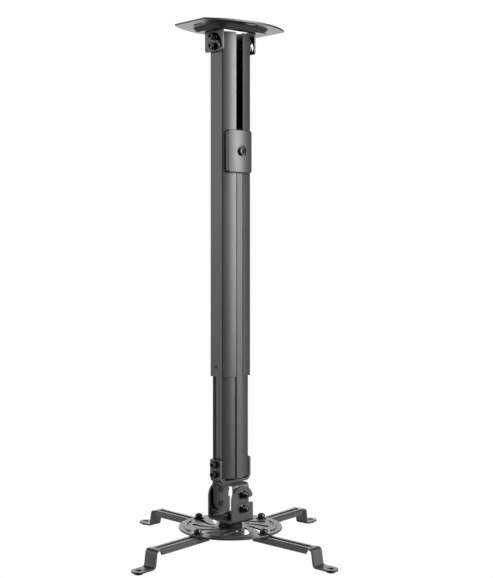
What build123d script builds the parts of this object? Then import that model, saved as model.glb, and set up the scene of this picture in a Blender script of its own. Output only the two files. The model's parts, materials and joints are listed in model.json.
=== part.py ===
"""Telescopic ceiling mount for a projector.

Millimetres, +Z up, front towards -Y. The origin is the centre of the fixing slots
in the ceiling plate's upper face.
"""

import os
from math import cos, isclose, log, radians, sin, sqrt, tan

from build123d import *

os.makedirs("parts", exist_ok=True)

# Running gaps
flat_gap = 0.1
pin_gap = 0.05
slot_gap = 0.2
tube_gap = 0.35

# Ceiling plate: bowed outline, pressed middle, two ears
plate_sheet = 2.0
plate_length = 123.0
plate_end_width = 52.4
plate_bow = 19.8
plate_corner = 2.5
boss_length = 68.0
boss_width = 50.0
boss_corner = 12.0
boss_depth = 5.0
boss_slope = 45.0
fixing_slot_width = 5.6
fixing_slot_length = 16.0
fixing_slot_spacing = 97.0
side_slot_length = 20.0
side_slot_spacing = 73.0
ear_width = 31.6
ear_drop = 30.6
ear_side_gap = 1.6
ear_corner = 3.0
ear_bend = 1.0
ear_relief = 0.7
pivot_depth = 24.6
lock_radius = 11.3
tilt_range = 90.0

# Column: two bowed tubes
column_width = 43.2
column_edge_depth = 21.0
column_bow = 6.0
column_corner = 2.0
column_wall = 1.5
column_top = -8.1
outer_length = 395.8
front_slot_width = 10.1
inner_bottom = -520.7
inner_length = 397.0
inner_corner = 1.2
rib_base_width = 9.7
rib_top_width = 8.6
rib_sink = 0.2
recess_depth = 1.3
recess_floor_width = 9.4
recess_mouth_width = 12.0

# Screws: M5 throughout, M6 in the clamp, M8 in the swivel
m5_radius = 2.5
m5_head_radius = 4.25
m5_head_height = 5.0
m5_socket = 4.0
m5_washer_radius = 5.0
m5_washer_height = 1.0
m5_nut_flats = 8.0
m5_nut_height = 4.0
m6_radius = 3.0
m6_head_radius = 5.2
m6_head_height = 3.3
m6_socket = 4.0
m6_nut_flats = 10.0
m6_nut_height = 5.0
m8_radius = 4.0
m8_head_radius = 7.0
m8_head_height = 5.4
m8_socket = 5.0
m8_nut_flats = 13.0
m8_nut_height = 6.5
nut_bore_gap = 0.05
thread_end = 1.5
socket_depth_share = 0.5
dome_share = 0.75
head_chamfer = 0.5

# Stop screw in the outer column's side
stop_screw_radius = 2.0
stop_screw_height = 11.4
stop_screw_proud = 0.4

# Clamp on the column's front
clamp_height = 48.8
clamp_width = 36.4
clamp_edge_thickness = 4.4
clamp_crown_thickness = 3.8
clamp_below_top = 21.3
clamp_corner = 3.0
clamp_edge = 0.9
clamp_recess_radius = 6.8
clamp_recess_depth = 1.6
clamp_head_radius = 4.9
clamp_head_height = 3.0
clamp_nut_size = 13.0
clamp_nut_thickness = 4.0
clamp_nut_seat = 0.15

# Lower bracket: strap under the inner column
strap_sheet = 3.0
strap_width = 18.2
strap_bend = 4.5
strap_side_gap = 0.5
strap_floor_gap = 2.7
strap_ear_height = 21.8
strap_corner = 2.0
strap_bolt_depths = (5.7, 17.0)

# Tilt bracket: upside-down U below the strap
tilt_sheet = 2.5
tilt_width = 23.2
tilt_span = 38.0
tilt_bend = 2.0
tilt_pivot_z = -538.6
tilt_lock_distance = 16.1
tilt_leg_below_lock = 7.8
tilt_side_range = 10.0
stud_head_radius = 3.4
stud_head_height = 0.8
flange_nut_radius = 4.9
flange_nut_flange = 1.0
flange_nut_height = 5.0
stud_end = 4.0

# Cradle bracket: U that hooks over the pivot studs
cradle_sheet = 2.5
cradle_width = 31.6
cradle_bend = 1.2
cradle_bottom = -571.2
cradle_round_below_pivot = 6.3
hook_width = 6.0
hook_entry_drop = 7.3
hook_tip_round = 2.5
hook_floor_round = 1.2

# Swivel between cradle and disc
spacer_height = 7.0
spacer_top_radius = 12.4
spacer_foot_radius = 13.8
spacer_foot_height = 4.0
centre_washer_radius = 8.0
centre_washer_height = 1.6
lower_washer_radius = 10.0

# Disc with a pinwheel of curved slots
disc_radius = 60.0
disc_sheet = 2.0
disc_edge = 0.8
disc_turn = 4.6
wheel_slots = 12
wheel_start = 9.6
wheel_inner_radius = 20.5
wheel_outer_radius = 42.0
wheel_inner_width = 3.4
wheel_outer_width = 6.2
wheel_lead = 37.0
rib_ring_radius = 52.0
rib_ring_width = 4.4
rib_ring_height = 1.1
rib_ring_slope = 35.0
rib_ring_arc = 50.0
arm_count = 4
arm_screw_circle = 52.7
arm_head_radius = 4.6
arm_head_height = 4.3
arm_washer_radius = 6.2
arm_washer_height = 1.2

# Arms
arm_sheet = 2.0
arm_width = 16.0
arm_flange_depth = 6.6
arm_flange_bend_gap = 7.3
arm_flange_slant = 2.5
arm_flange_round = 2.4
arm_inner_end = 9.6
arm_slot_width = 5.4
arm_slot_bend_gap = 10.5
arm_slot_start = 4.2
arm_bend_reach = 77.3
arm_bend = 2.8
arm_leg_slant = 9.0
arm_drop = 18.3
arm_foot_reach = 96.6
arm_foot_hole_radius = 3.6
arm_collar_radius = 5.0
arm_collar_height = 2.0
arm_turns = (5.0, -1.0, 4.6, 0.7)
arm_shifts = (4.0, 0.5, -1.5, 0.0)

# Levels and widths that follow from the sizes above
boss_floor = -(boss_depth + plate_sheet)
ear_inner = column_width / 2 + ear_side_gap
ear_outer = ear_inner + plate_sheet
column_bottom = column_top - outer_length
column_front = column_edge_depth / 2 + column_bow
inner_inset = column_wall + tube_gap
inner_top = inner_bottom + inner_length
clamp_screw_z = inner_top - clamp_below_top
strap_inner = column_width / 2 - inner_inset + strap_side_gap
strap_outer = strap_inner + strap_sheet
strap_bottom = inner_bottom - strap_floor_gap - strap_sheet
strap_top = inner_bottom + strap_ear_height
strap_bolt_z = [strap_top - depth for depth in strap_bolt_depths]
tilt_top = strap_bottom - flat_gap
tilt_bottom_leg = tilt_pivot_z - tilt_lock_distance - tilt_leg_below_lock
tilt_outer = tilt_span / 2
cradle_inner = tilt_outer + flat_gap
cradle_outer = cradle_inner + cradle_sheet
disc_top = cradle_bottom - spacer_height
disc_bottom = disc_top - disc_sheet
arm_top = disc_bottom - flat_gap
pivot_z = -pivot_depth
lock_z = pivot_z + lock_radius
arm_step = 360 / arm_count
arm_flange_end = arm_bend_reach - arm_flange_bend_gap
arm_slot_reach = arm_bend_reach - arm_slot_bend_gap
hex_share = 1 / cos(radians(30))
front = Plane.XZ
side = Plane.YZ


def write(piece, label):
    """Name a finished piece and write it."""
    piece.part.label = label
    export_step(piece.part, f"parts/{label}.step")


def barrel(inset, corner):
    """Column section: straight narrow sides, bowed front and back, shrunk by inset."""
    half_width = column_width / 2 - inset
    half_depth = column_edge_depth / 2 - inset
    crown = half_depth + column_bow
    with BuildSketch() as section:
        with BuildLine():
            ThreePointArc((-half_width, -half_depth), (0, -crown), (half_width, -half_depth))
            Line((half_width, -half_depth), (half_width, half_depth))
            ThreePointArc((half_width, half_depth), (0, crown), (-half_width, half_depth))
            Line((-half_width, half_depth), (-half_width, -half_depth))
        make_face()
        fillet(section.vertices(), corner)
    return section.sketch


def button_bolt(seat, shank_length, shank_radius, head_radius, head_height, socket):
    """Domed socket bolt: its head rests on the seat plane and its shank goes below it."""
    with BuildPart() as bolt:
        with BuildSketch(seat):
            Circle(head_radius)
        extrude(amount=head_height)
        crown_face = bolt.faces().sort_by(Axis(seat.origin, seat.z_dir))[-1]
        fillet(crown_face.edges(), head_height * dome_share)
        with BuildSketch(seat.offset(head_height)):
            RegularPolygon(socket / 2 * hex_share, 6)
        extrude(amount=-head_height * socket_depth_share, mode=Mode.SUBTRACT)
        with BuildSketch(seat):
            Circle(shank_radius)
        extrude(amount=-shank_length)
    return bolt.part


def cap_bolt(seat, shank_length):
    """M5 socket cap bolt: a straight head with a chamfered rim."""
    with BuildPart() as bolt:
        with BuildSketch(seat):
            Circle(m5_head_radius)
        extrude(amount=m5_head_height)
        crown_face = bolt.faces().sort_by(Axis(seat.origin, seat.z_dir))[-1]
        chamfer(crown_face.edges(), head_chamfer)
        with BuildSketch(seat.offset(m5_head_height)):
            RegularPolygon(m5_socket / 2 * hex_share, 6)
        extrude(amount=-m5_head_height * socket_depth_share, mode=Mode.SUBTRACT)
        with BuildSketch(seat):
            Circle(m5_radius)
        extrude(amount=-shank_length)
    return bolt.part


def hex_nut(seat, flats, height, bore_radius):
    """Hexagon nut standing on the seat plane."""
    with BuildPart() as nut:
        with BuildSketch(seat):
            RegularPolygon(flats / 2, 6, major_radius=False)
            Circle(bore_radius + nut_bore_gap, mode=Mode.SUBTRACT)
        extrude(amount=height)
    return nut.part


def ring(seat, outer_radius, bore_radius, height):
    """Flat washer standing on the seat plane."""
    with BuildPart() as washer:
        with BuildSketch(seat):
            Circle(outer_radius)
            Circle(bore_radius, mode=Mode.SUBTRACT)
        extrude(amount=height)
    return washer.part


def group(label, solids):
    """Write several like solids as one piece."""
    with BuildPart() as pieces:
        for solid in solids:
            add(solid)
    write(pieces, label)


# Ceiling plate: flange with bowed long sides
half_length = plate_length / 2
half_end = plate_end_width / 2
wall_run = boss_depth / tan(radians(boss_slope))
wall_shift = plate_sheet / sin(radians(boss_slope)) - plate_sheet / tan(radians(boss_slope))
with BuildPart() as ceiling_plate:
    with BuildSketch() as plate_outline:
        with BuildLine():
            ThreePointArc(
                (-half_length, -half_end), (0, -half_end - plate_bow), (half_length, -half_end)
            )
            Line((half_length, -half_end), (half_length, half_end))
            ThreePointArc((half_length, half_end), (0, half_end + plate_bow), (-half_length, half_end))
            Line((-half_length, half_end), (-half_length, -half_end))
        make_face()
        fillet(plate_outline.vertices(), plate_corner)
    extrude(amount=-plate_sheet)

    # Pressed middle with sloping walls
    with BuildSketch(Plane.XY.offset(-plate_sheet)):
        RectangleRounded(boss_length + 2 * wall_run, boss_width + 2 * wall_run, boss_corner)
    with BuildSketch(Plane.XY.offset(boss_floor)):
        RectangleRounded(boss_length, boss_width, boss_corner - wall_run)
    loft()
    with BuildSketch(Plane.XY):
        RectangleRounded(
            boss_length + 2 * (wall_run - wall_shift),
            boss_width + 2 * (wall_run - wall_shift),
            boss_corner - wall_shift,
        )
    with BuildSketch(Plane.XY.offset(-boss_depth)):
        RectangleRounded(
            boss_length - 2 * wall_shift, boss_width - 2 * wall_shift, boss_corner - wall_run - wall_shift
        )
    loft(mode=Mode.SUBTRACT)

    # Opening that the two ears were bent down from
    ear_turn = ear_bend + plate_sheet
    with BuildSketch(Plane.XY.offset(boss_floor)):
        Rectangle(2 * (ear_inner + ear_turn), ear_width + 2 * ear_relief)
    extrude(amount=boss_depth + plate_sheet, mode=Mode.SUBTRACT)
    with BuildSketch(front) as ear_profile:
        with BuildLine():
            Line((ear_inner, -ear_drop), (ear_inner, boss_floor + plate_sheet - ear_turn))
            RadiusArc(
                (ear_inner, boss_floor + plate_sheet - ear_turn),
                (ear_inner + ear_turn, boss_floor + plate_sheet),
                ear_turn,
            )
            Line((ear_inner + ear_turn, boss_floor + plate_sheet), (ear_inner + ear_turn, boss_floor))
            RadiusArc((ear_inner + ear_turn, boss_floor), (ear_outer, boss_floor - ear_bend), -ear_bend)
            Line((ear_outer, boss_floor - ear_bend), (ear_outer, -ear_drop))
            Line((ear_outer, -ear_drop), (ear_inner, -ear_drop))
        make_face()
        mirror(about=Plane.YZ)
    extrude(amount=ear_width / 2, both=True)
    ear_ends = ceiling_plate.faces().sort_by(Axis.Z)[:2]
    fillet(ear_ends.edges().filter_by(Axis.X), ear_corner)

    # Pivot hole and quarter-circle slot in both ears, and the fixing slots
    with BuildSketch(side):
        with Locations((0, pivot_z)):
            Circle(m5_radius + pin_gap)
        with BuildLine(mode=Mode.PRIVATE) as lock_path:
            CenterArc((0, pivot_z), lock_radius, 90, tilt_range)
        SlotArc(lock_path.edge(), 2 * (m5_radius + slot_gap))
    extrude(amount=ear_outer, both=True, mode=Mode.SUBTRACT)
    with BuildSketch():
        with Locations((-fixing_slot_spacing / 2, 0), (fixing_slot_spacing / 2, 0)):
            SlotOverall(fixing_slot_length, fixing_slot_width, rotation=90)
        with Locations((0, -side_slot_spacing / 2), (0, side_slot_spacing / 2)):
            SlotOverall(side_slot_length, fixing_slot_width)
    extrude(amount=-plate_sheet, mode=Mode.SUBTRACT)
write(ceiling_plate, "ceiling_plate")

# Bolts through the ears, each on a washer, with their nuts inside the column
ear_washers = []
bolt_reach = ear_outer + flat_gap + m5_washer_height - (column_width / 2 - column_wall)
for name, height in (("pivot", pivot_z), ("lock", lock_z)):
    bolts = []
    for hand in (-1, 1):
        ear_face = Plane(
            origin=(hand * (ear_outer + flat_gap), 0, height), x_dir=(0, 1, 0), z_dir=(hand, 0, 0)
        )
        ear_washers.append(ring(ear_face, m5_washer_radius, m5_radius + pin_gap, m5_washer_height))
        bolts.append(cap_bolt(ear_face.offset(m5_washer_height), bolt_reach + m5_nut_height + thread_end))
    group(f"ceiling_{name}_bolts", bolts)
group("ceiling_bolt_washers", ear_washers)
column_nut_seats = [
    Plane(
        origin=(hand * (column_width / 2 - column_wall), 0, height), x_dir=(0, 1, 0), z_dir=(-hand, 0, 0)
    )
    for hand in (-1, 1)
    for height in (pivot_z, lock_z)
]
column_nuts = [hex_nut(seat, m5_nut_flats, m5_nut_height, m5_radius) for seat in column_nut_seats]
group("ceiling_bolt_nuts", column_nuts)

# Outer column: bowed tube, open along its front
outer_skin = barrel(0, column_corner)
outer_bore = barrel(column_wall, column_corner - column_wall / 2)
with BuildPart() as outer_column:
    with BuildSketch(Plane.XY.offset(column_bottom)):
        add(outer_skin)
        add(outer_bore, mode=Mode.SUBTRACT)
        with Locations((0, -column_front / 2)):
            Rectangle(front_slot_width, column_front, mode=Mode.SUBTRACT)
    extrude(amount=outer_length)
    with BuildSketch(side):
        with Locations((0, pivot_z), (0, lock_z)):
            Circle(m5_radius + pin_gap)
    extrude(amount=column_width, both=True, mode=Mode.SUBTRACT)
    with BuildSketch(side):
        with Locations((0, column_bottom + stop_screw_height)):
            Circle(stop_screw_radius + pin_gap)
    extrude(amount=-column_width, mode=Mode.SUBTRACT)
write(outer_column, "outer_column")

# Stop screw: a headless screw whose tip reaches into the inner column's side recess
stop_seat = Plane(
    origin=(-(column_width / 2 + stop_screw_proud), 0, column_bottom + stop_screw_height),
    x_dir=(0, 1, 0),
    z_dir=(-1, 0, 0),
)
stop_length = stop_screw_proud + column_wall + tube_gap + recess_depth - slot_gap
with BuildPart() as stop_screw:
    with BuildSketch(stop_seat):
        Circle(stop_screw_radius)
    extrude(amount=-stop_length)
    with BuildSketch(stop_seat):
        RegularPolygon(stop_screw_radius / 2, 6)
    extrude(amount=-stop_length / 2, mode=Mode.SUBTRACT)
write(stop_screw, "stop_screw")

# Inner column: bowed tube with a rib in the front slot and a recess in each narrow side
inner_skin = barrel(inner_inset, inner_corner)
inner_bore = barrel(inner_inset + column_wall, inner_corner / 2)
inner_front = column_front - inner_inset
inner_side = column_width / 2 - inner_inset
rib_front = column_front - rib_sink


def side_recess(depth_face):
    """Trapezoid cut into both narrow sides, its floor at depth_face from the middle plane."""
    with BuildSketch() as recess:
        with BuildLine():
            Polyline(
                (depth_face, -recess_floor_width / 2),
                (depth_face + recess_depth, -recess_mouth_width / 2),
                (depth_face + 2 * recess_depth, -recess_mouth_width / 2),
                (depth_face + 2 * recess_depth, recess_mouth_width / 2),
                (depth_face + recess_depth, recess_mouth_width / 2),
                (depth_face, recess_floor_width / 2),
                close=True,
            )
        make_face()
        mirror(about=Plane.YZ)
    return recess.sketch


recess_outside = side_recess(inner_side - recess_depth)
recess_inside = side_recess(inner_side - recess_depth - column_wall)
with BuildPart() as inner_column:
    with BuildSketch(Plane.XY.offset(inner_bottom)):
        add(inner_skin)
        with BuildLine():
            Polyline(
                (-rib_base_width / 2, -inner_front + column_wall / 2),
                (-rib_base_width / 2, -inner_front),
                (-rib_top_width / 2, -rib_front),
                (rib_top_width / 2, -rib_front),
                (rib_base_width / 2, -inner_front),
                (rib_base_width / 2, -inner_front + column_wall / 2),
                close=True,
            )
        make_face()
        add(recess_outside, mode=Mode.SUBTRACT)
        with BuildSketch(mode=Mode.SUBTRACT):
            add(inner_bore)
            add(recess_inside, mode=Mode.SUBTRACT)
    extrude(amount=inner_length)
    with BuildSketch(side):
        with Locations(*[(0, height) for height in strap_bolt_z]):
            Circle(m5_radius + pin_gap)
    extrude(amount=column_width, both=True, mode=Mode.SUBTRACT)
    with BuildSketch(front):
        with Locations((0, clamp_screw_z)):
            Circle(m6_radius + pin_gap)
    extrude(amount=column_width, mode=Mode.SUBTRACT)
write(inner_column, "inner_column")

# Clamp block: hugs the bowed front, crowned outside, with a round recess for its screw
clamp_half = clamp_width / 2
bow_radius = ((column_width / 2) ** 2 + column_bow**2) / (2 * column_bow)
bow_centre = bow_radius - column_front
seat_radius = bow_radius + flat_gap
seat_edge = sqrt(seat_radius**2 - clamp_half**2) - bow_centre
seat_crown = column_front + flat_gap
clamp_face = seat_crown + clamp_crown_thickness
with BuildPart() as clamp_block:
    with BuildSketch(Plane.XY.offset(clamp_screw_z - clamp_height / 2)):
        with BuildLine():
            ThreePointArc((-clamp_half, -seat_edge), (0, -seat_crown), (clamp_half, -seat_edge))
            Line((clamp_half, -seat_edge), (clamp_half, -seat_edge - clamp_edge_thickness))
            ThreePointArc(
                (clamp_half, -seat_edge - clamp_edge_thickness),
                (0, -clamp_face),
                (-clamp_half, -seat_edge - clamp_edge_thickness),
            )
            Line((-clamp_half, -seat_edge - clamp_edge_thickness), (-clamp_half, -seat_edge))
        make_face()
    extrude(amount=clamp_height)
    fillet(clamp_block.edges().filter_by(Axis.Y), clamp_corner)
    crowned = clamp_block.faces().sort_by(Axis.Y)[0]
    fillet(crowned.edges(), clamp_edge)
    clamp_front = Plane(origin=(0, -clamp_face, clamp_screw_z), x_dir=(1, 0, 0), z_dir=(0, -1, 0))
    with Locations(clamp_front):
        CounterBoreHole(m6_radius + slot_gap, clamp_recess_radius, clamp_recess_depth)
write(clamp_block, "clamp_block")

nut_half = clamp_nut_size / 2
bore_radius_front = bow_radius - inner_inset - column_wall
nut_seat_y = sqrt(bore_radius_front**2 - nut_half**2) - bow_centre - clamp_nut_seat
clamp_seat = clamp_front.offset(-clamp_recess_depth)
clamp_shank = clamp_face - clamp_recess_depth - nut_seat_y + clamp_nut_thickness + thread_end
clamp_bolt = button_bolt(
    clamp_seat, clamp_shank, m6_radius, clamp_head_radius, clamp_head_height, m6_socket
)
group("clamp_screw", [clamp_bolt])
with BuildPart() as clamp_nut:
    with BuildSketch(Plane(origin=(0, -nut_seat_y, clamp_screw_z), x_dir=(1, 0, 0), z_dir=(0, 1, 0))):
        Rectangle(clamp_nut_size, clamp_nut_size)
        Circle(m6_radius + nut_bore_gap, mode=Mode.SUBTRACT)
    extrude(amount=clamp_nut_thickness)
write(clamp_nut, "clamp_nut")


def channel(inner_half, sheet, bend, web_face, ear_end):
    """U of bent sheet: its ears stand at inner_half, its web has its outer face at web_face."""
    up = 1 if ear_end > web_face else -1
    outer_half = inner_half + sheet
    outer_turn = bend + sheet
    with BuildSketch() as profile:
        with BuildLine():
            Polyline(
                (0, web_face),
                (outer_half, web_face),
                (outer_half, ear_end),
                (inner_half, ear_end),
                (inner_half, web_face + up * sheet),
                (0, web_face + up * sheet),
                close=True,
            )
        make_face()
        fillet(profile.vertices().group_by(Axis.X)[-1].sort_by(Axis.Y)[0 if up > 0 else -1], outer_turn)
        inner_corners = profile.vertices().filter_by(lambda corner: isclose(corner.X, inner_half))
        fillet(inner_corners.sort_by(Axis.Y)[0 if up > 0 else -1], bend)
        mirror(about=Plane.YZ)
    return profile.sketch


# Lower bracket: strap under the inner column
strap_profile = channel(strap_inner, strap_sheet, strap_bend, strap_bottom, strap_top)
with BuildPart() as lower_bracket:
    with BuildSketch(front):
        add(strap_profile)
    extrude(amount=strap_width / 2, both=True)
    strap_ends = lower_bracket.faces().sort_by(Axis.Z)[-2:]
    fillet(strap_ends.edges().filter_by(Axis.X), strap_corner)
    with BuildSketch(side):
        with Locations(*[(0, height) for height in strap_bolt_z]):
            Circle(m5_radius + pin_gap)
    extrude(amount=strap_outer, both=True, mode=Mode.SUBTRACT)
    with BuildSketch(Plane.XY.offset(strap_bottom)):
        Circle(m6_radius + pin_gap)
    extrude(amount=strap_sheet, mode=Mode.SUBTRACT)
write(lower_bracket, "lower_bracket")

strap_bolt_length = (
    strap_outer - (inner_side - recess_depth - column_wall) + m5_nut_height + thread_end
)
strap_bolts = []
strap_nuts = []
for hand in (-1, 1):
    for height in strap_bolt_z:
        seat = Plane(origin=(hand * strap_outer, 0, height), x_dir=(0, 1, 0), z_dir=(hand, 0, 0))
        strap_bolts.append(cap_bolt(seat, strap_bolt_length))
        nut_seat = Plane(
            origin=(hand * (inner_side - recess_depth - column_wall), 0, height),
            x_dir=(0, 1, 0),
            z_dir=(-hand, 0, 0),
        )
        strap_nuts.append(hex_nut(nut_seat, m5_nut_flats, m5_nut_height, m5_radius))
group("lower_bracket_bolts", strap_bolts)
group("lower_bracket_nuts", strap_nuts)

# Tilt bracket: upside-down U below the strap, its legs ending in a half circle
tilt_half = tilt_width / 2
tilt_lock_z = tilt_pivot_z - tilt_lock_distance
tilt_profile = channel(tilt_outer - tilt_sheet, tilt_sheet, tilt_bend, tilt_top, tilt_bottom_leg)
with BuildPart() as tilt_bracket:
    with BuildSketch(side):
        add(tilt_profile)
    extrude(amount=tilt_half, both=True)
    leg_ends = tilt_bracket.faces().sort_by(Axis.Z)[:2]
    fillet(leg_ends.edges().filter_by(Axis.Y), tilt_half - pin_gap)
    with BuildSketch(front):
        with Locations((0, tilt_pivot_z), (0, tilt_lock_z)):
            Circle(m5_radius + pin_gap)
    extrude(amount=tilt_outer, both=True, mode=Mode.SUBTRACT)
    with BuildSketch(Plane.XY.offset(tilt_top)):
        Circle(m6_radius + pin_gap)
    extrude(amount=-tilt_sheet, mode=Mode.SUBTRACT)
write(tilt_bracket, "tilt_bracket")

joint_seat = Plane(origin=(0, 0, tilt_top - tilt_sheet), x_dir=(1, 0, 0), z_dir=(0, 0, -1))
joint_nut_seat = Plane.XY.offset(strap_bottom + strap_sheet)
joint_length = strap_bottom + strap_sheet + m6_nut_height + thread_end - (tilt_top - tilt_sheet)
joint_bolt = button_bolt(
    joint_seat, joint_length, m6_radius, m6_head_radius, m6_head_height, m6_socket
)
group("tilt_bracket_bolt", [joint_bolt])
group("tilt_bracket_nut", [hex_nut(joint_nut_seat, m6_nut_flats, m6_nut_height, m6_radius)])

# Studs pressed into the legs, and the flange nuts outside the cradle
stud_length = tilt_sheet + flat_gap + cradle_sheet + flat_gap + flange_nut_height + stud_end
tilt_nuts = []
for name, height in (("pivot", tilt_pivot_z), ("lock", tilt_lock_z)):
    studs = []
    for hand in (-1, 1):
        leg_face = Plane(
            origin=(0, hand * (tilt_outer - tilt_sheet), height), x_dir=(1, 0, 0), z_dir=(0, hand, 0)
        )
        with BuildPart() as stud:
            with BuildSketch(leg_face):
                Circle(stud_head_radius)
            extrude(amount=-stud_head_height)
            with BuildSketch(leg_face):
                Circle(m5_radius)
            extrude(amount=stud_length)
            stud_tip = stud.faces().sort_by(Axis.Y)[-1 if hand > 0 else 0]
            chamfer(stud_tip.edges(), m5_radius / 5)
        studs.append(stud.part)
        nut_seat = leg_face.offset(tilt_sheet + flat_gap + cradle_sheet + flat_gap)
        with BuildPart() as flange_nut:
            with BuildSketch(nut_seat):
                Circle(flange_nut_radius)
            extrude(amount=flange_nut_flange)
            with BuildSketch(nut_seat):
                RegularPolygon(m5_nut_flats / 2, 6, major_radius=False)
            extrude(amount=flange_nut_height)
            with BuildSketch(nut_seat):
                Circle(m5_radius + nut_bore_gap)
            extrude(amount=flange_nut_height, mode=Mode.SUBTRACT)
        tilt_nuts.append(flange_nut.part)
    group(f"tilt_{name}_studs", studs)
group("tilt_nuts", tilt_nuts)

# Cradle bracket: ears with a round top, a hook-shaped cut-out and a short curved slot
cradle_half = cradle_width / 2
cradle_round_z = tilt_pivot_z - cradle_round_below_pivot
cradle_top = cradle_round_z + cradle_half
entry_z = tilt_pivot_z - hook_entry_drop
cradle_profile = channel(cradle_inner, cradle_sheet, cradle_bend, cradle_bottom, cradle_top)
with BuildPart() as cradle_bracket:
    with BuildSketch(side):
        add(cradle_profile)
    extrude(amount=cradle_half, both=True)
    ear_tops = cradle_bracket.faces().sort_by(Axis.Z)[-2:]
    fillet(ear_tops.edges().filter_by(Axis.Y), cradle_half - pin_gap)
    with BuildSketch(front):
        with BuildLine():
            hook_radius = m5_radius + pin_gap
            Line((-hook_radius, tilt_pivot_z), (-hook_radius, entry_z - hook_width / 2))
            Line((-hook_radius, entry_z - hook_width / 2), (cradle_width, entry_z - hook_width / 2))
            Line((cradle_width, entry_z - hook_width / 2), (cradle_width, entry_z + hook_width / 2))
            Line((cradle_width, entry_z + hook_width / 2), (hook_radius, entry_z + hook_width / 2))
            Line((hook_radius, entry_z + hook_width / 2), (hook_radius, tilt_pivot_z))
            ThreePointArc(
                (hook_radius, tilt_pivot_z), (0, tilt_pivot_z + hook_radius), (-hook_radius, tilt_pivot_z)
            )
        make_face()
        with BuildLine(mode=Mode.PRIVATE) as swing:
            CenterArc(
                (0, tilt_pivot_z), tilt_lock_distance, 270 - tilt_side_range, 2 * tilt_side_range
            )
        SlotArc(swing.edge(), 2 * (m5_radius + slot_gap))
    extrude(amount=cradle_outer, both=True, mode=Mode.SUBTRACT)

    # The hook's tip and the corner below its mouth are rounded
    for mouth_z, rounding in (
        (entry_z + hook_width / 2, hook_tip_round),
        (entry_z - hook_width / 2, hook_floor_round),
    ):
        right_edges = cradle_bracket.edges().filter_by(Axis.Y).group_by(Axis.X)[-3:]
        mouth_edges = [
            edge for column in right_edges for edge in column if isclose(edge.center().Z, mouth_z)
        ]
        fillet(mouth_edges, rounding)
    with BuildSketch(Plane.XY.offset(cradle_bottom)):
        Circle(m8_radius + pin_gap)
    extrude(amount=cradle_sheet, mode=Mode.SUBTRACT)
write(cradle_bracket, "cradle_bracket")

# Swivel: bolt down through cradle, spacer and disc
cradle_floor = cradle_bottom + cradle_sheet
washer_seat = Plane.XY.offset(cradle_floor)
swivel_seat = washer_seat.offset(centre_washer_height)
lower_washer_top = disc_bottom - flat_gap
nut_top = lower_washer_top - centre_washer_height
swivel_length = swivel_seat.origin.Z - nut_top + m8_nut_height + thread_end
swivel_bolt = button_bolt(
    swivel_seat, swivel_length, m8_radius, m8_head_radius, m8_head_height, m8_socket
)
group("centre_bolt", [swivel_bolt])
loose_bore = m8_radius + pin_gap
group("centre_washer", [ring(washer_seat, centre_washer_radius, loose_bore, centre_washer_height)])
below = Plane(origin=(0, 0, lower_washer_top), x_dir=(1, 0, 0), z_dir=(0, 0, -1))
group("lower_washer", [ring(below, lower_washer_radius, loose_bore, centre_washer_height)])
centre_nut = hex_nut(below.offset(centre_washer_height), m8_nut_flats, m8_nut_height, m8_radius)
group("centre_nut", [centre_nut])
with BuildPart() as swivel_spacer:
    with BuildSketch(front):
        with BuildLine():
            Polyline(
                (loose_bore, cradle_bottom),
                (spacer_top_radius, cradle_bottom),
                (spacer_top_radius, disc_top + spacer_foot_height),
                (spacer_foot_radius, disc_top + spacer_foot_height / 2),
                (spacer_foot_radius, disc_top + flat_gap),
                (loose_bore, disc_top + flat_gap),
                close=True,
            )
        make_face()
    revolve(axis=Axis.Z)
write(swivel_spacer, "swivel_spacer")


def spiral(radius, half_width):
    """Point on one edge of the pinwheel slot that crosses the +X axis at its inner radius."""
    lead = radians(wheel_lead)
    turn = -tan(lead) * log(radius / wheel_inner_radius)
    spread = half_width / (radius * cos(lead))
    angle = turn + spread
    return (radius * cos(angle), radius * sin(angle))


def spiral_end(radius, reach):
    """Point on the slot's middle line, carried past its end at radius by reach."""
    lead = radians(wheel_lead)
    turn = -tan(lead) * log(radius / wheel_inner_radius)
    heading = turn - lead
    return (radius * cos(turn) + reach * cos(heading), radius * sin(turn) + reach * sin(heading))


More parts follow.
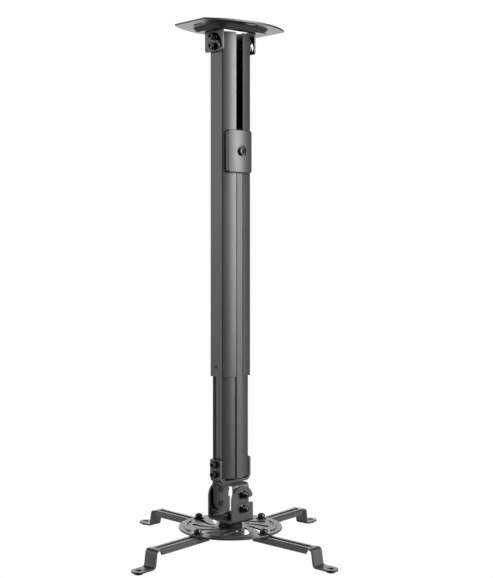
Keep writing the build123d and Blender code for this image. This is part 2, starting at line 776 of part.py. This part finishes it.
# Disc: turned a little against the column, as the photo shows it
disc_plane = Plane(
    origin=(0, 0, disc_bottom),
    x_dir=(cos(radians(disc_turn)), sin(radians(disc_turn)), 0),
    z_dir=(0, 0, 1),
)
wheel_middle_radius = (wheel_inner_radius + wheel_outer_radius) / 2
inner_half = wheel_inner_width / 2
middle_half = (wheel_inner_width + wheel_outer_width) / 4
outer_half = wheel_outer_width / 2
with BuildPart() as disc:
    with BuildSketch(disc_plane):
        Circle(disc_radius)
        Circle(m8_radius + pin_gap, mode=Mode.SUBTRACT)
        with PolarLocations(arm_screw_circle, arm_count):
            Circle(m5_radius + pin_gap, mode=Mode.SUBTRACT)
        with PolarLocations(0, wheel_slots, start_angle=wheel_start):
            with BuildSketch(mode=Mode.PRIVATE) as wheel_slot:
                with BuildLine():
                    ThreePointArc(
                        spiral(wheel_inner_radius, inner_half),
                        spiral(wheel_middle_radius, middle_half),
                        spiral(wheel_outer_radius, outer_half),
                    )
                    ThreePointArc(
                        spiral(wheel_outer_radius, outer_half),
                        spiral_end(wheel_outer_radius, outer_half),
                        spiral(wheel_outer_radius, -outer_half),
                    )
                    ThreePointArc(
                        spiral(wheel_outer_radius, -outer_half),
                        spiral(wheel_middle_radius, -middle_half),
                        spiral(wheel_inner_radius, -inner_half),
                    )
                    ThreePointArc(
                        spiral(wheel_inner_radius, -inner_half),
                        spiral_end(wheel_inner_radius, -inner_half),
                        spiral(wheel_inner_radius, inner_half),
                    )
                make_face()
            add(wheel_slot.sketch, mode=Mode.SUBTRACT)
    extrude(amount=disc_sheet)
    rim = disc.edges().filter_by(GeomType.CIRCLE).sort_by(SortBy.RADIUS)[-2:].sort_by(Axis.Z)[-1]
    fillet(rim, disc_edge)
    with BuildSketch(disc_plane.offset(disc_sheet)):
        for number in range(arm_count):
            middle = arm_step * (number + 0.5)
            with BuildLine(mode=Mode.PRIVATE) as rib_path:
                CenterArc((0, 0), rib_ring_radius, middle - rib_ring_arc / 2, rib_ring_arc)
            SlotArc(rib_path.edge(), rib_ring_width)
    extrude(amount=rib_ring_height, taper=rib_ring_slope)
write(disc, "disc")

# Arms, each with its screw, washer and nut
arm_half = arm_width / 2
leg_shift = arm_drop * tan(radians(arm_leg_slant))
foot_top = -arm_drop
foot_base = foot_top - arm_sheet
for number, (turn, shift) in enumerate(zip(arm_turns, arm_shifts), start=1):
    station = disc_turn + arm_step * (number - 1)
    heading = radians(station + turn)
    hole_x = arm_screw_circle * cos(radians(station))
    hole_y = arm_screw_circle * sin(radians(station))
    along = (cos(heading), sin(heading), 0)
    across = (-sin(heading), cos(heading), 0)
    screw_seat = Plane(
        origin=(hole_x, hole_y, disc_top + arm_washer_height), x_dir=along, z_dir=(0, 0, 1)
    )
    nut_seat = Plane(
        origin=(hole_x, hole_y, arm_top - arm_sheet - flat_gap), x_dir=along, z_dir=(0, 0, -1)
    )
    screw_length = screw_seat.origin.Z - nut_seat.origin.Z + m5_nut_height + thread_end
    screw = button_bolt(
        screw_seat, screw_length, m5_radius, arm_head_radius, arm_head_height, m5_socket
    )
    group(f"arm_screw_{number}", [screw])
    washer = ring(
        screw_seat.offset(-arm_washer_height), arm_washer_radius, m5_radius + pin_gap, arm_washer_height
    )
    group(f"arm_washer_{number}", [washer])
    group(f"arm_nut_{number}", [hex_nut(nut_seat, m5_nut_flats, m5_nut_height, m5_radius)])

    # Arm drawn along its own heading; the shift is how far it is slid out
    start = (hole_x + shift * along[0], hole_y + shift * along[1], arm_top)
    arm_face = Plane(origin=start, x_dir=along, z_dir=(0, 0, 1))
    strip_side = Plane(origin=start, x_dir=along, z_dir=tuple(-part for part in across))
    inner_face = Plane(
        origin=tuple(s - arm_inner_end * a for s, a in zip(start, along)), x_dir=across, z_dir=along
    )
    with BuildPart() as arm:
        # Strip bent down and out into a foot, seen from its side
        with BuildSketch(strip_side):
            with BuildLine():
                Polyline(
                    (arm_flange_end, 0),
                    (arm_bend_reach, 0),
                    (arm_bend_reach + leg_shift, foot_top),
                    (arm_foot_reach + arm_half, foot_top),
                    (arm_foot_reach + arm_half, foot_base),
                    (arm_bend_reach + leg_shift - arm_sheet, foot_base),
                    (arm_bend_reach - arm_sheet, -arm_sheet),
                    (arm_flange_end, -arm_sheet),
                    close=True,
                )
            make_face()
        extrude(amount=arm_half, both=True)
        outward = Axis((0, 0, 0), along)
        by_height = arm.edges().filter_by(Axis((0, 0, 0), across)).group_by(Axis.Z)
        knee_outer = by_height[-1].sort_by(outward)[-1]
        knee_inner = by_height[-2].sort_by(outward)[-1]
        heel_inner = by_height[1].sort_by(outward)[0]
        heel_outer = by_height[0].sort_by(outward)[0]
        fillet([knee_outer, heel_outer], arm_bend + arm_sheet)
        fillet([knee_inner, heel_inner], arm_bend)
        tip_face = arm.faces().sort_by(outward)[-1]
        fillet(tip_face.edges().filter_by(Axis.Z), arm_half - pin_gap)

        # Stretch with both edges turned down, each with a slanting outer end
        with BuildSketch(inner_face):
            with Locations((0, -arm_flange_depth / 2)):
                rail = Rectangle(arm_width, arm_flange_depth)
            fillet(rail.vertices().group_by(Axis.Y)[-1], arm_flange_round)
            with BuildSketch(mode=Mode.PRIVATE) as hollow:
                with Locations((0, -arm_sheet - arm_flange_depth / 2)):
                    Rectangle(arm_width - 2 * arm_sheet, arm_flange_depth)
                fillet(hollow.vertices().group_by(Axis.Y)[-1], arm_flange_round / 4)
            add(hollow.sketch, mode=Mode.SUBTRACT)
        extrude(amount=arm_inner_end + arm_flange_end)
        with BuildSketch(strip_side):
            with BuildLine():
                Polyline(
                    (arm_flange_end, -arm_sheet),
                    (arm_flange_end, -2 * arm_flange_depth),
                    (arm_flange_end - 2 * arm_flange_slant, -2 * arm_flange_depth),
                    close=True,
                )
            make_face()
        extrude(amount=arm_half, both=True, mode=Mode.SUBTRACT)

        # Collar under the foot, then the long slot and the foot hole
        with BuildSketch(arm_face.offset(foot_base)):
            with Locations((arm_foot_reach, 0)):
                Circle(arm_collar_radius)
        extrude(amount=-arm_collar_height)
        with BuildSketch(arm_face):
            with Locations(((arm_slot_reach - arm_slot_start) / 2, 0)):
                SlotCenterToCenter(arm_slot_reach + arm_slot_start, arm_slot_width)
            with Locations((arm_foot_reach, 0)):
                Circle(arm_foot_hole_radius)
        extrude(amount=foot_base - arm_collar_height, mode=Mode.SUBTRACT)
    write(arm, f"arm_{number}")
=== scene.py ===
# %% [markdown]
# # Dressing a projector mount for one photograph
#
# The CAD part gives every rigid piece its shape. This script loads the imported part, sets the
# photograph's camera, lights it like a white studio, paints it in satin black powder coat and
# gives the screws real threads. Lengths are metres, in the frame of the CAD part.

import json
import math

import bmesh
import bpy
from mathutils import Matrix, Vector


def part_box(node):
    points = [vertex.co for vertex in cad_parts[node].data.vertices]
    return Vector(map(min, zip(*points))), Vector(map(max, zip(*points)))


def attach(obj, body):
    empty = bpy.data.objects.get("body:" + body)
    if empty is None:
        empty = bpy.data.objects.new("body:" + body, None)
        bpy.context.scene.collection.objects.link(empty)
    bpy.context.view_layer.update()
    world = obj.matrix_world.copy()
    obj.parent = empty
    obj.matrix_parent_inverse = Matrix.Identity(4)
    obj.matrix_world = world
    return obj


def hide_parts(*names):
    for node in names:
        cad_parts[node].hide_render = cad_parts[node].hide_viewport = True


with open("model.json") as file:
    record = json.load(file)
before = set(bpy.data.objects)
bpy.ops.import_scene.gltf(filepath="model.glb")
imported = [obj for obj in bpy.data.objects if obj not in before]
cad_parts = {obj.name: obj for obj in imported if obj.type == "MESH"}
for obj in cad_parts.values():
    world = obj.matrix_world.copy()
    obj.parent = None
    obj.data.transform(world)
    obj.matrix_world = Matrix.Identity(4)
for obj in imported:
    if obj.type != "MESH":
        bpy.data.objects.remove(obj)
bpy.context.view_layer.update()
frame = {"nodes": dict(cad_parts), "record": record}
scene = bpy.context.scene
MM = 0.001

# %% [markdown]
# ## The camera
#
# The photograph was taken a little above the middle of the column, with a level camera. The eye
# level lies at pixel row 244 and the column's axis near column 230, so the lens is shifted
# instead of tilted, which keeps the column's edges upright.

# %% Camera at the photograph's place
IMAGE_WIDTH = 493
IMAGE_HEIGHT = 578
FOCAL_PIXELS = 1140.0
EYE_ROW = 244.0
AXIS_COLUMN = 230.4
MM_PER_PIXEL = 1.161
TOP_ROW = 27.5
CAMERA_AZIMUTH = math.radians(-41.0)
SENSOR_WIDTH = 36.0
NEAREST, FARTHEST = 0.01, 30.0

eye_distance = FOCAL_PIXELS * MM_PER_PIXEL * MM
eye_height = -(EYE_ROW - TOP_ROW) * MM_PER_PIXEL * MM
towards_eye = Vector((math.sin(CAMERA_AZIMUTH), -math.cos(CAMERA_AZIMUTH), 0.0))

camera_data = bpy.data.cameras.new("photo_camera")
camera_data.sensor_fit = "HORIZONTAL"
camera_data.sensor_width = SENSOR_WIDTH
camera_data.lens = SENSOR_WIDTH * FOCAL_PIXELS / IMAGE_WIDTH
camera_data.shift_x = (IMAGE_WIDTH / 2 - AXIS_COLUMN) / IMAGE_WIDTH
camera_data.shift_y = -(IMAGE_HEIGHT / 2 - EYE_ROW) / IMAGE_WIDTH
camera_data.clip_start = NEAREST
camera_data.clip_end = FARTHEST
camera = bpy.data.objects.new("photo_camera", camera_data)
scene.collection.objects.link(camera)
camera.location = towards_eye * eye_distance + Vector((0.0, 0.0, eye_height))
camera.rotation_euler = (-towards_eye).to_track_quat("-Z", "Y").to_euler()
scene.camera = camera
scene.view_settings.view_transform = "Standard"
print("camera", [round(c, 3) for c in camera.location])

# %% [markdown]
# ## The studio
#
# The mount hangs in front of white paper, which glows white to the camera. For reflections and
# soft light the world is a set of wide lobes: bright behind the mount, fainter low on both sides
# and dark on the camera's side. With three softboxes they give the satin paint its long gradients.


# %% World made of soft lobes
def direction(azimuth, elevation):
    """Unit vector from the object; azimuth 0 is the front, positive turns to its right."""
    turn, lift = math.radians(azimuth), math.radians(elevation)
    level = math.cos(lift)
    return (math.sin(turn) * level, -math.cos(turn) * level, math.sin(lift))


# Each lobe has an azimuth, an elevation, its widest angle and a strength
LOBES = (
    (147.0, 0.0, 46.0, 2.6),
    (58.0, -26.0, 34.0, 1.3),
    (-128.0, -20.0, 45.0, 1.0),
    (0.0, 90.0, 70.0, 0.1),
    (-125.0, 5.0, 50.0, 0.5),
)
AMBIENT = 0.01
LOBE_CORE = 0.35
WHITE = (1.0, 1.0, 1.0, 1.0)

world = bpy.data.worlds.new("white_studio")
scene.world = world
world.use_nodes = True
tree = world.node_tree
tree.nodes.clear()
coords = tree.nodes.new("ShaderNodeTexCoord")
total = None
for azimuth, elevation, width, strength in LOBES:
    towards = tree.nodes.new("ShaderNodeVectorMath")
    towards.operation = "DOT_PRODUCT"
    towards.inputs[1].default_value = direction(azimuth, elevation)
    tree.links.new(coords.outputs["Generated"], towards.inputs[0])
    lobe = tree.nodes.new("ShaderNodeMapRange")
    lobe.interpolation_type = "SMOOTHSTEP"
    lobe.inputs["From Min"].default_value = math.cos(math.radians(width))
    lobe.inputs["From Max"].default_value = math.cos(math.radians(width * LOBE_CORE))
    lobe.inputs["To Max"].default_value = strength
    tree.links.new(towards.outputs["Value"], lobe.inputs["Value"])
    step = tree.nodes.new("ShaderNodeMath")
    step.operation = "ADD"
    step.inputs[1].default_value = AMBIENT
    if total is not None:
        tree.links.new(total, step.inputs[1])
    tree.links.new(lobe.outputs["Result"], step.inputs[0])
    total = step.outputs["Value"]

soft = tree.nodes.new("ShaderNodeBackground")
soft.inputs["Color"].default_value = WHITE
tree.links.new(total, soft.inputs["Strength"])
paper = tree.nodes.new("ShaderNodeBackground")
paper.inputs["Color"].default_value = WHITE
paper.inputs["Strength"].default_value = 1.0
ray = tree.nodes.new("ShaderNodeLightPath")
switch = tree.nodes.new("ShaderNodeMixShader")
surface = tree.nodes.new("ShaderNodeOutputWorld")
tree.links.new(ray.outputs["Is Camera Ray"], switch.inputs["Fac"])
tree.links.new(soft.outputs["Background"], switch.inputs[1])
tree.links.new(paper.outputs["Background"], switch.inputs[2])
tree.links.new(switch.outputs["Shader"], surface.inputs["Surface"])
print("lobes", len(LOBES))


# %% Softboxes
LAMP_TARGET = (0.0, 0.0, -0.2)


def softbox(name, azimuth, elevation, distance, width, height, watts, target=LAMP_TARGET):
    """Rectangular lamp on the sphere around the object, aimed at target."""
    data = bpy.data.lights.new(name, "AREA")
    data.shape = "RECTANGLE"
    data.size = width
    data.size_y = height
    data.energy = watts
    lamp = bpy.data.objects.new(name, data)
    scene.collection.objects.link(lamp)
    centre = Vector(target)
    lamp.location = centre + Vector(direction(azimuth, elevation)) * distance
    lamp.rotation_euler = (centre - lamp.location).to_track_quat("-Z", "Y").to_euler()
    return lamp


softbox("key_right", 24.0, 14.0, 1.8, 0.9, 1.5, 82.0)
softbox("fill_left", -128.0, 12.0, 2.0, 0.9, 1.2, 12.5)
softbox("top_light", -30.0, 60.0, 1.8, 0.8, 0.8, 6.0, (0.0, 0.0, -0.3))

# %% [markdown]
# ## Finishes
#
# Powder coat is a satin black with a very fine orange-peel skin. The screws are oxide black and
# glossier, the plastic spacer is matt. All three share one node group, which adds the skin and
# softens the sharp CAD edges in the shading, as paint does.


# %% Shared finish group
GRAIN_DETAIL = 3.0
GRAIN_HEIGHT = 0.0001
PATCH_SCALE = 35.0
ROUGHNESS_SPREAD = 0.03


def finish_group():
    """Bump of fine noise over edges rounded in the shading."""
    group = bpy.data.node_groups.new("skin", "ShaderNodeTree")
    face = group.interface
    face.new_socket("Grain", in_out="INPUT", socket_type="NodeSocketFloat")
    face.new_socket("Depth", in_out="INPUT", socket_type="NodeSocketFloat")
    face.new_socket("Edge", in_out="INPUT", socket_type="NodeSocketFloat")
    face.new_socket("Normal", in_out="OUTPUT", socket_type="NodeSocketVector")
    face.new_socket("Patches", in_out="OUTPUT", socket_type="NodeSocketFloat")
    start = group.nodes.new("NodeGroupInput")
    end = group.nodes.new("NodeGroupOutput")
    place = group.nodes.new("ShaderNodeTexCoord")
    noise = group.nodes.new("ShaderNodeTexNoise")
    noise.inputs["Detail"].default_value = GRAIN_DETAIL
    edge = group.nodes.new("ShaderNodeBevel")
    edge.samples = 4
    bump = group.nodes.new("ShaderNodeBump")
    bump.inputs["Distance"].default_value = GRAIN_HEIGHT
    broad = group.nodes.new("ShaderNodeTexNoise")
    broad.inputs["Scale"].default_value = PATCH_SCALE
    group.links.new(place.outputs["Object"], noise.inputs["Vector"])
    group.links.new(place.outputs["Object"], broad.inputs["Vector"])
    group.links.new(start.outputs["Grain"], noise.inputs["Scale"])
    group.links.new(start.outputs["Depth"], bump.inputs["Strength"])
    group.links.new(start.outputs["Edge"], edge.inputs["Radius"])
    group.links.new(noise.outputs["Fac"], bump.inputs["Height"])
    group.links.new(edge.outputs["Normal"], bump.inputs["Normal"])
    group.links.new(bump.outputs["Normal"], end.inputs["Normal"])
    group.links.new(broad.outputs["Fac"], end.inputs["Patches"])
    return group


skin = finish_group()


def finish(name, color, roughness, grain, depth, edge, specular=0.5):
    """Principled material with the shared skin."""
    material = bpy.data.materials.new(name)
    material.use_nodes = True
    nodes, links = material.node_tree.nodes, material.node_tree.links
    shader = nodes["Principled BSDF"]
    shader.inputs["Base Color"].default_value = (*color, 1.0)
    shader.inputs["Specular IOR Level"].default_value = specular
    relief = nodes.new("ShaderNodeGroup")
    relief.node_tree = skin
    relief.inputs["Grain"].default_value = grain
    relief.inputs["Depth"].default_value = depth
    relief.inputs["Edge"].default_value = edge
    vary = nodes.new("ShaderNodeMapRange")
    vary.inputs["To Min"].default_value = roughness - ROUGHNESS_SPREAD
    vary.inputs["To Max"].default_value = roughness + ROUGHNESS_SPREAD
    links.new(relief.outputs["Patches"], vary.inputs["Value"])
    links.new(vary.outputs["Result"], shader.inputs["Roughness"])
    links.new(relief.outputs["Normal"], shader.inputs["Normal"])
    return material


COAT_BLACK = (0.02, 0.02, 0.0205)
OXIDE_BLACK = (0.008, 0.008, 0.0085)
PLASTIC_BLACK = (0.005, 0.005, 0.005)

FINISHES = {
    "black_powder_coat": finish("powder_coat", COAT_BLACK, 0.42, 1400.0, 0.25, 0.0004),
    "black_screws": finish("black_oxide", OXIDE_BLACK, 0.22, 900.0, 0.05, 0.0003, 0.35),
    "black_plastic": finish("plastic", PLASTIC_BLACK, 0.6, 700.0, 0.15, 0.0005, 0.2),
}
slots = {part["node"]: part["material_slot"] for part in frame["record"]["subparts"]}
for node, thing in frame["nodes"].items():
    for holder in thing.material_slots:
        holder.material = FINISHES[slots[node]]
print("finishes", sorted(FINISHES))

# %% [markdown]
# ## Screws with real heads and threads
#
# The CAD part has plain heads, shanks and nuts. Here each one that shows is built again at its
# own place: knurled or domed heads with a hexagon socket, chamfered nuts and helical threads.
# Every screw is drawn upright, its seat at the origin, and then placed.

# %% Rings and helices
SIDES = 48
THREAD_STEPS = 20
THREAD_ROOT = 0.96
THREAD_FLANK, THREAD_CREST = 0.45, 0.1
CHAMFER_CIRCLE = 0.98
CHAMFER_ANGLE = math.radians(30)


def hexagon(flats):
    """Radius of a hexagon in each direction, from its width across flats."""

    def radius(angle):
        inside = (angle + math.pi / 6) % (math.pi / 3) - math.pi / 6
        return flats / 2 / math.cos(inside)

    return radius


def chamfered(flats, depth):
    """Hexagon cut back to a circle as depth below the nut's face goes to nothing."""

    def radius(angle):
        circle = flats / 2 * CHAMFER_CIRCLE + depth / math.tan(CHAMFER_ANGLE)
        return min(hexagon(flats)(angle), circle)

    return radius


def knurled(radius, depth):
    """Circle with a groove at every second side."""
    return lambda angle: radius - depth * (round(angle / (2 * math.pi) * SIDES) % 2)


def add_rings(mesh, rings, place, hollow=False):
    """Skin over rings of height and radius; a hollow one joins its last ring to its first."""
    loops = []
    for height, radius in rings:
        loop = []
        for side in range(SIDES):
            angle = 2 * math.pi * side / SIDES
            reach = radius(angle) if callable(radius) else radius
            spot = Vector((reach * math.cos(angle), reach * math.sin(angle), height)) * MM
            loop.append(mesh.verts.new(place @ spot))
        loops.append(loop)
    pairs = list(zip(loops, loops[1:]))
    if hollow:
        pairs.append((loops[-1], loops[0]))
    else:
        mesh.faces.new(loops[0])
        mesh.faces.new(loops[-1])
    for low, high in pairs:
        for side in range(SIDES):
            beyond = (side + 1) % SIDES
            mesh.faces.new((low[side], low[beyond], high[beyond], high[side]))


def add_thread(mesh, core, crest, pitch, start, stop, place):
    """Helical ridge round a core, from height start to height stop."""
    turns = (stop - start) / pitch - 1
    steps = max(2, round(turns * THREAD_STEPS))
    root = core * THREAD_ROOT
    section = (
        (root, -THREAD_FLANK),
        (crest, -THREAD_CREST),
        (crest, THREAD_CREST),
        (root, THREAD_FLANK),
    )
    ribs = []
    for step in range(steps + 1):
        angle = 2 * math.pi * turns * step / steps
        middle = start + pitch / 2 + turns * pitch * step / steps
        rib = []
        for radius, lift in section:
            x, y = radius * math.cos(angle), radius * math.sin(angle)
            spot = Vector((x, y, middle + lift * pitch)) * MM
            rib.append(mesh.verts.new(place @ spot))
        ribs.append(rib)
    for near, far in zip(ribs, ribs[1:]):
        for corner in range(len(section)):
            beyond = (corner + 1) % len(section)
            mesh.faces.new((near[corner], near[beyond], far[beyond], far[corner]))
    mesh.faces.new(ribs[0])
    mesh.faces.new(ribs[-1])


print("sides", SIDES, "steps to a turn", THREAD_STEPS)


# %% Screws and nuts, in millimetres
THREAD_DEPTH, THREAD_TIP = 0.6, 0.5
THREAD_RUNOUT = 0.3
PLAIN_SHANK = 1.0
CHAMFER = 0.25
KNURL_START, KNURL_STOP, KNURL_FADE = 0.6, 1.1, 0.15
KNURL_INSET, KNURL_DEPTH = 0.12, 0.22
CROWN_STEPS = ((0.5, 0.0), (0.15, 0.25), (0.0, 0.6))
CAP_SOCKET_LEAD = 0.5
DOME_STEPS = 8
DOME_EDGE, DOME_CROWN = 0.12, 0.66
DOME_SOCKET_LEAD, DOME_SOCKET_DEPTH = 0.4, 0.2
NUT_CHAMFER = (0.0, 0.15, 0.3, 0.45)
FLANGE_STEPS = ((0.0, 0.2), (0.3, 0.0), (0.8, 0.1))
FLANGE_TOP = 1.1
BORE_LEAD = 0.3


def shank(length, radius, pitch, thread):
    """Rings of a shank that ends at the seat, with a thinner core where it is threaded."""
    core = radius - THREAD_DEPTH * pitch
    return [
        (-length, core - THREAD_TIP * pitch),
        (-length + THREAD_TIP * pitch, core),
        (-length + thread, core),
        (-length + thread + THREAD_RUNOUT, radius),
        (0.0, radius),
    ]


def add_shank_thread(mesh, length, radius, pitch, thread, place):
    """Helix over the threaded end of a shank."""
    core = radius - THREAD_DEPTH * pitch
    add_thread(mesh, core, radius, pitch, -length, -length + thread, place)


def cap_screw(mesh, place, length, radius, head, rise, socket, pitch, thread):
    """Socket cap screw: straight knurled head."""
    thread = min(thread, length - PLAIN_SHANK)
    band = knurled(head - KNURL_INSET, KNURL_DEPTH)
    rings = shank(length, radius, pitch, thread) + [
        (0.0, head - CHAMFER),
        (CHAMFER, head),
        (KNURL_START, head),
        (KNURL_START + KNURL_FADE, band),
        (rise - KNURL_STOP - KNURL_FADE, band),
        (rise - KNURL_STOP, head),
    ]
    rings += [(rise - drop, head - inset) for drop, inset in CROWN_STEPS]
    rings += [
        (rise, hexagon(socket + CAP_SOCKET_LEAD)),
        (rise - CHAMFER, hexagon(socket)),
        (rise / 2, hexagon(socket)),
    ]
    add_rings(mesh, rings, place)
    add_shank_thread(mesh, length, radius, pitch, thread, place)


def dome_screw(mesh, place, length, radius, head, rise, socket, pitch, thread):
    """Button head screw: low dome with a flat top."""
    thread = min(thread, length - PLAIN_SHANK)
    edge = DOME_EDGE * rise
    crown = socket * DOME_CROWN
    rings = shank(length, radius, pitch, thread) + [(0.0, head - edge)]
    for step in range(DOME_STEPS + 1):
        lean = math.pi / 2 * step / DOME_STEPS
        height = edge + (rise - edge) * math.sin(lean)
        rings.append((height, crown + (head - crown) * math.cos(lean)))
    rings += [
        (rise, hexagon(socket + DOME_SOCKET_LEAD)),
        (rise - DOME_SOCKET_DEPTH, hexagon(socket)),
        (rise / 2, hexagon(socket)),
    ]
    add_rings(mesh, rings, place)
    add_shank_thread(mesh, length, radius, pitch, thread, place)


def nut(mesh, place, flats, height, bore, flange=0.0):
    """Hexagon nut with both faces chamfered, or with a flange at its seat."""
    foot = [(depth, chamfered(flats, depth)) for depth in NUT_CHAMFER]
    if flange:
        foot = [(rise, flange - inset) for rise, inset in FLANGE_STEPS]
        foot.append((FLANGE_TOP, hexagon(flats)))
    top = [(height - depth, chamfered(flats, depth)) for depth in reversed(NUT_CHAMFER)]
    hole = [
        (height, bore + BORE_LEAD),
        (height - BORE_LEAD, bore),
        (BORE_LEAD, bore),
        (0.0, bore + BORE_LEAD),
    ]
    add_rings(mesh, foot + top + hole, place, hollow=True)


def facing(spot, outward):
    """Place of a screw whose seat is at spot and whose head looks outward."""
    turn = Vector(outward).to_track_quat("Z", "Y").to_matrix().to_4x4()
    return Matrix.Translation(spot) @ turn


SHARP_ANGLE = math.radians(32)
bodies = frame["record"]["behaviour"]["bodies"]
body_of = {node: body for body, nodes in bodies.items() for node in nodes}


def finished(name, node, mesh):
    """Turns the drawn screws into one object that stands for the CAD node."""
    bmesh.ops.recalc_face_normals(mesh, faces=mesh.faces)
    data = bpy.data.meshes.new(name)
    mesh.to_mesh(data)
    mesh.free()
    data.shade_smooth()
    data.set_sharp_from_angle(angle=SHARP_ANGLE)
    thing = bpy.data.objects.new(name, data)
    scene.collection.objects.link(thing)
    data.materials.append(FINISHES[slots[node]])
    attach(thing, body_of[node])
    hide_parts(node)
    return thing


def span(node, axis):
    """Lowest and highest place of a CAD node along an axis, in millimetres."""
    low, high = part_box(node)
    return low[axis] / MM, high[axis] / MM


def inner_end(node, axis):
    """How near a pair of screws comes to the middle plane, in millimetres."""
    return min(abs(corner.co[axis]) for corner in frame["nodes"][node].data.vertices) / MM


# %% [markdown]
# ### Cap screws on the ears and on the strap
#
# Each pair is a mirror image across the middle plane. Its outer faces and inner ends are read
# from the CAD node, so the screws follow when the part changes.

# %% Cap screws
M5 = {"radius": 2.5, "pitch": 0.8}
CAP_RADIUS = 4.25
CAP_RISE = 5.0
CAP_THREAD = 10.0
M5_SOCKET = 4.0
for node in ("ceiling_pivot_bolts", "ceiling_lock_bolts", "lower_bracket_bolts"):
    crown = span(node, 0)[1]
    bottom, top = span(node, 2)
    seat = crown - CAP_RISE
    levels = sorted({round(bottom + CAP_RADIUS, 1), round(top - CAP_RADIUS, 1)})
    screws = bmesh.new()
    for level in levels:
        for hand in (-1, 1):
            place = facing((hand * seat * MM, 0.0, level * MM), (hand, 0.0, 0.0))
            cap_screw(
                screws,
                place,
                seat - inner_end(node, 0),
                head=CAP_RADIUS,
                rise=CAP_RISE,
                socket=M5_SOCKET,
                thread=CAP_THREAD,
                **M5,
            )
    finished(f"{node}_dressed", node, screws)
    print(node, "levels", levels)

# %% [markdown]
# ### Domed screws
#
# One holds each arm, a larger one is the disc's pivot, and one sits in the clamp's recess.

# %% Domed screws
ARM_NUMBERS = range(1, 5)
UP, DOWN, FRONT = (0.0, 0.0, 1.0), (0.0, 0.0, -1.0), (0.0, -1.0, 0.0)
ARM_SCREW = {"head": 4.6, "rise": 4.3, "socket": M5_SOCKET, "thread": 9.0, **M5}
M6 = {"radius": 3.0, "pitch": 1.0}
M8 = {"radius": 4.0, "pitch": 1.25}
CENTRE_BOLT = {"head": 7.0, "rise": 5.4, "socket": 5.0, "thread": 9.0, **M8}
CLAMP_SCREW = {"head": 4.9, "rise": 3.0, "socket": 4.0, "thread": 6.0, **M6}


def spans(node):
    """Lowest and highest place of a CAD node along all three axes."""
    return [span(node, axis) for axis in range(3)]


upright = {f"arm_screw_{number}": ARM_SCREW for number in ARM_NUMBERS}
upright["centre_bolt"] = CENTRE_BOLT
for node, sizes in upright.items():
    (west, east), (south, north), (low, high) = spans(node)
    seat = high - sizes["rise"]
    place = facing(((west + east) / 2 * MM, (south + north) / 2 * MM, seat * MM), UP)
    screws = bmesh.new()
    dome_screw(screws, place, seat - low, **sizes)
    finished(f"{node}_dressed", node, screws)

(west, east), (south, north), (low, high) = spans("clamp_screw")
seat = south + CLAMP_SCREW["rise"]
place = facing(((west + east) / 2 * MM, seat * MM, (low + high) / 2 * MM), FRONT)
screws = bmesh.new()
dome_screw(screws, place, north - seat, **CLAMP_SCREW)
finished("clamp_screw_dressed", "clamp_screw", screws)
print("domed screws", len(upright) + 1)

# %% [markdown]
# ### Studs and nuts
#
# The studs stick out of the tilt bracket's legs and end in flange nuts outside the cradle. Plain
# nuts hang under the disc, one on each arm's screw and a larger one on the pivot.

# %% Studs and nuts
STUD_THREAD = 9.0
STUD_HEAD, STUD_HEAD_RISE, STUD_HEAD_EDGE = 3.4, 0.8, 0.2
FLANGE_NUT = {"flats": 8.0, "height": 5.0, "bore": 2.55, "flange": 4.9}
M5_NUT = {"flats": 8.0, "height": 4.0, "bore": 2.55}
M8_NUT = {"flats": 13.0, "height": 6.5, "bore": 4.05}
for node in ("tilt_pivot_studs", "tilt_lock_studs"):
    low, high = span(node, 2)
    tip = span(node, 1)[1]
    back = inner_end(node, 1)
    screws = bmesh.new()
    for hand in (-1, 1):
        place = facing((0.0, hand * back * MM, (low + high) / 2 * MM), (0.0, -hand, 0.0))
        stud = {"length": tip - back, "thread": STUD_THREAD, **M5}
        rings = shank(**stud)[:-1] + [
            (-STUD_HEAD_RISE, M5["radius"]),
            (-STUD_HEAD_RISE, STUD_HEAD),
            (-STUD_HEAD_EDGE, STUD_HEAD),
            (0.0, STUD_HEAD - STUD_HEAD_EDGE),
        ]
        add_rings(screws, rings, place)
        add_shank_thread(screws, place=place, **stud)
    finished(f"{node}_dressed", node, screws)

levels = [sum(span(node, 2)) / 2 for node in ("tilt_pivot_studs", "tilt_lock_studs")]
outer = span("tilt_nuts", 1)[1]
screws = bmesh.new()
for level in levels:
    for hand in (-1, 1):
        seat = outer - FLANGE_NUT["height"]
        place = facing((0.0, hand * seat * MM, level * MM), (0.0, hand, 0.0))
        nut(screws, place, **FLANGE_NUT)
finished("tilt_nuts_dressed", "tilt_nuts", screws)

hanging = {f"arm_nut_{number}": M5_NUT for number in ARM_NUMBERS}
hanging["centre_nut"] = M8_NUT
for node, sizes in hanging.items():
    (west, east), (south, north), (low, high) = spans(node)
    place = facing(((west + east) / 2 * MM, (south + north) / 2 * MM, high * MM), DOWN)
    screws = bmesh.new()
    nut(screws, place, **sizes)
    finished(f"{node}_dressed", node, screws)
